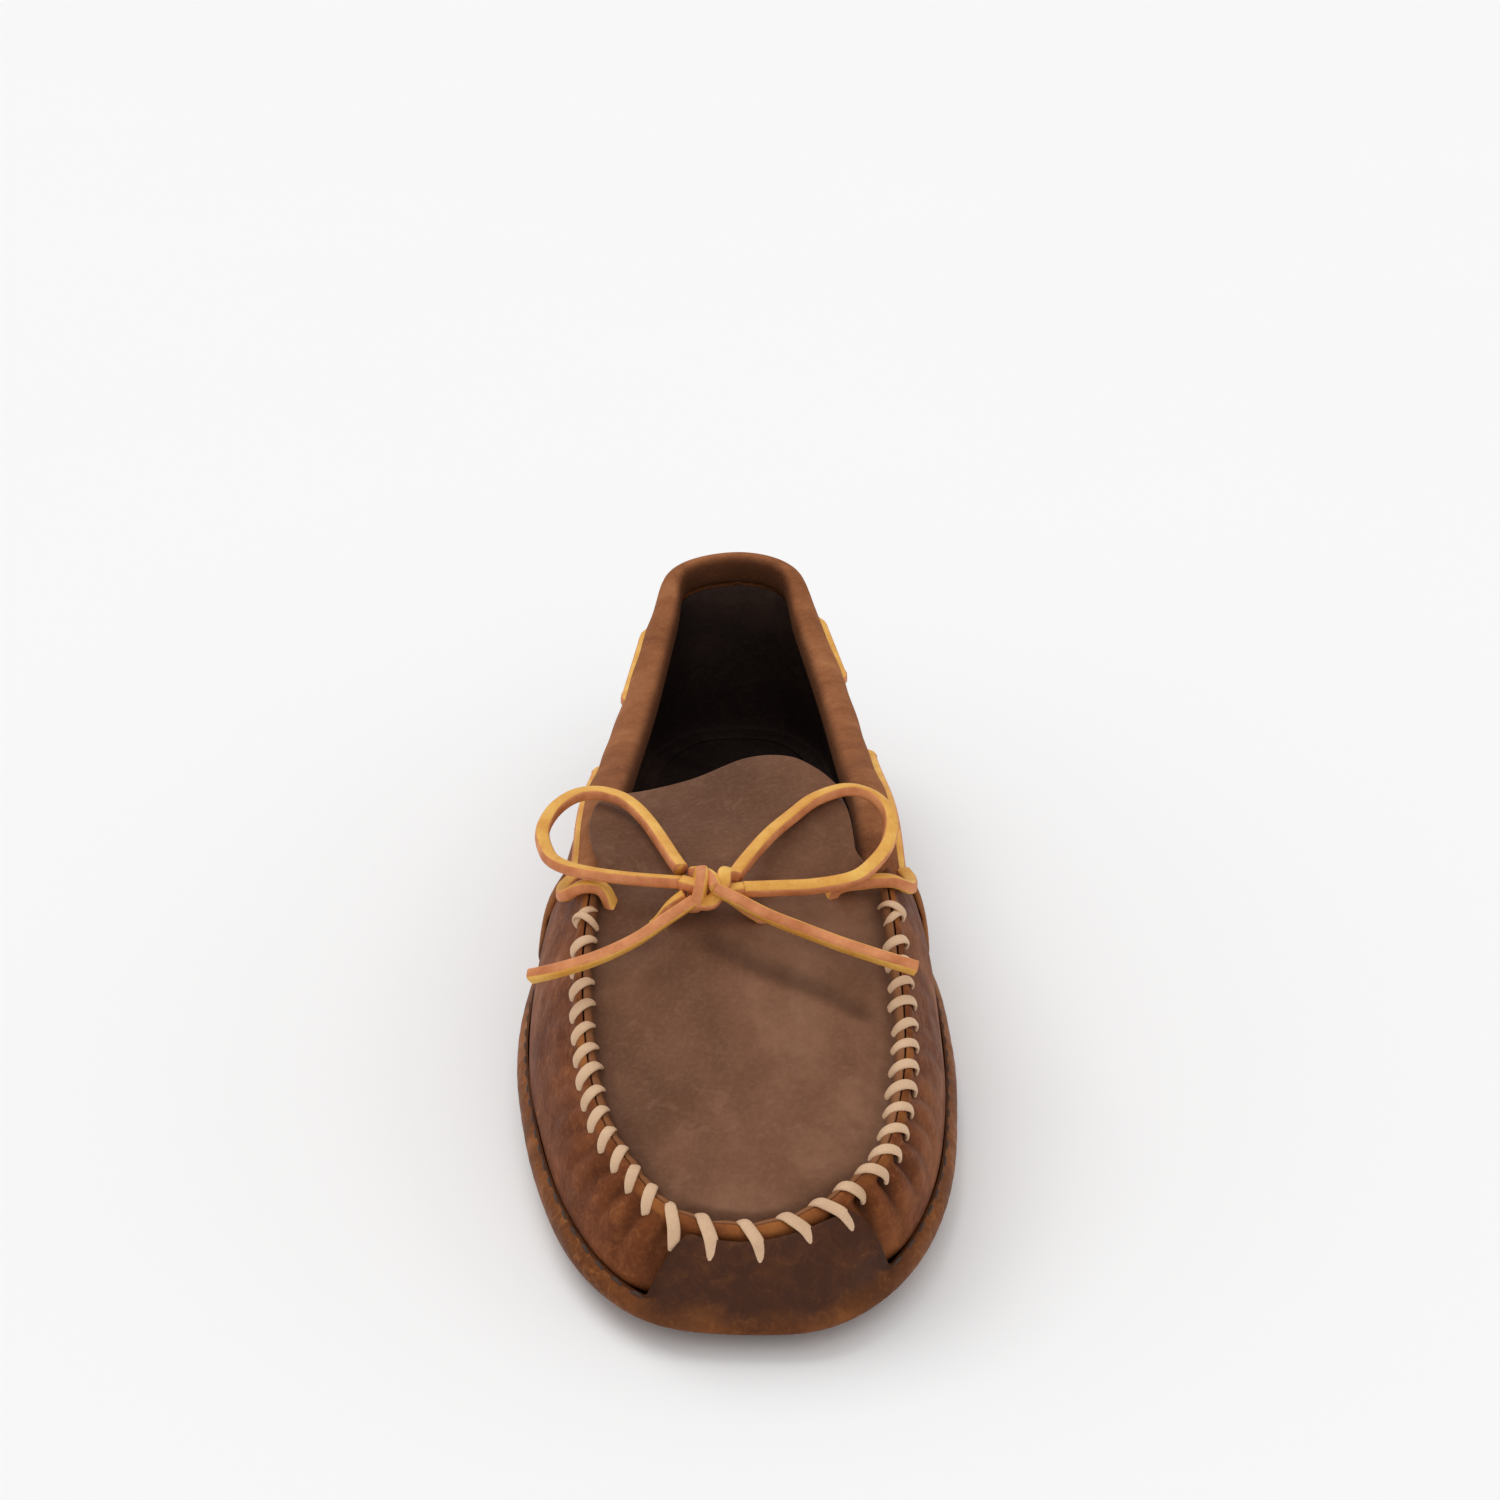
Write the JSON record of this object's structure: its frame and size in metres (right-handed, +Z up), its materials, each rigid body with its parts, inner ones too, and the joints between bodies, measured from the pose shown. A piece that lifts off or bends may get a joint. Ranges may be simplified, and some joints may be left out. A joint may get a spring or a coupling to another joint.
{
  "type": "moccasin",
  "caption": "Soft leather moccasin for a right foot, with a double bottom, a whip-stitched apron, a tongue, a folded collar and a rawhide lace tied in a bow.",
  "frame": {"origin": "on the ground, under the middle of the sole's length and width", "axes": "-Y points to the toe, +X to the inner side of the foot, +Z up"},
  "size_m": [0.1056, 0.2816, 0.072],
  "materials": {
    "sole_leather": "oiled, burnished rim",
    "pad_foam": "matte foam",
    "vamp_leather": "oiled, waxy",
    "counter_board": "stiff board",
    "lining_leather": "matte",
    "insole_foam": "matte foam",
    "collar_suede": "suede",
    "apron_leather": "oiled nubuck",
    "waxed_thread": "waxed, flat",
    "fine_thread": "matte",
    "rawhide_lace": "grain on two faces, flesh on the others"
  },
  "bodies": {
    "shoe": {"outsole": "sole_leather", "sole_pad": "pad_foam", "vamp": "vamp_leather", "quarter_lateral": "vamp_leather", "quarter_medial": "vamp_leather", "heel_counter": "counter_board", "quarter_lining": "lining_leather", "insole": "insole_foam", "sock_liner": "lining_leather", "collar": "collar_suede", "back_stay": "vamp_leather", "apron": "apron_leather", "apron_stitches": "waxed_thread", "tie_off_lateral": "waxed_thread", "tie_off_medial": "waxed_thread", "sole_seam_thread": "fine_thread", "collar_thread": "fine_thread", "collar_lace": "rawhide_lace", "lace_lead_lateral": "rawhide_lace", "lace_lead_medial": "rawhide_lace", "lace_knot": "rawhide_lace", "lace_loop_root_lateral": "rawhide_lace", "lace_loop_root_medial": "rawhide_lace", "lace_tail_lateral": "rawhide_lace", "lace_tail_medial": "rawhide_lace"},
    "tongue_flap": {"tongue": "apron_leather", "lace_loop_lateral": "rawhide_lace", "lace_loop_medial": "rawhide_lace"}
  },
  "joints": [
    {"name": "tongue_lift", "type": "hinge", "parent": "shoe", "child": "tongue_flap", "pos_m": [0, -0.042, 0.059], "axis": [1, 0, 0], "range_deg": [0, 50]}
  ]
}
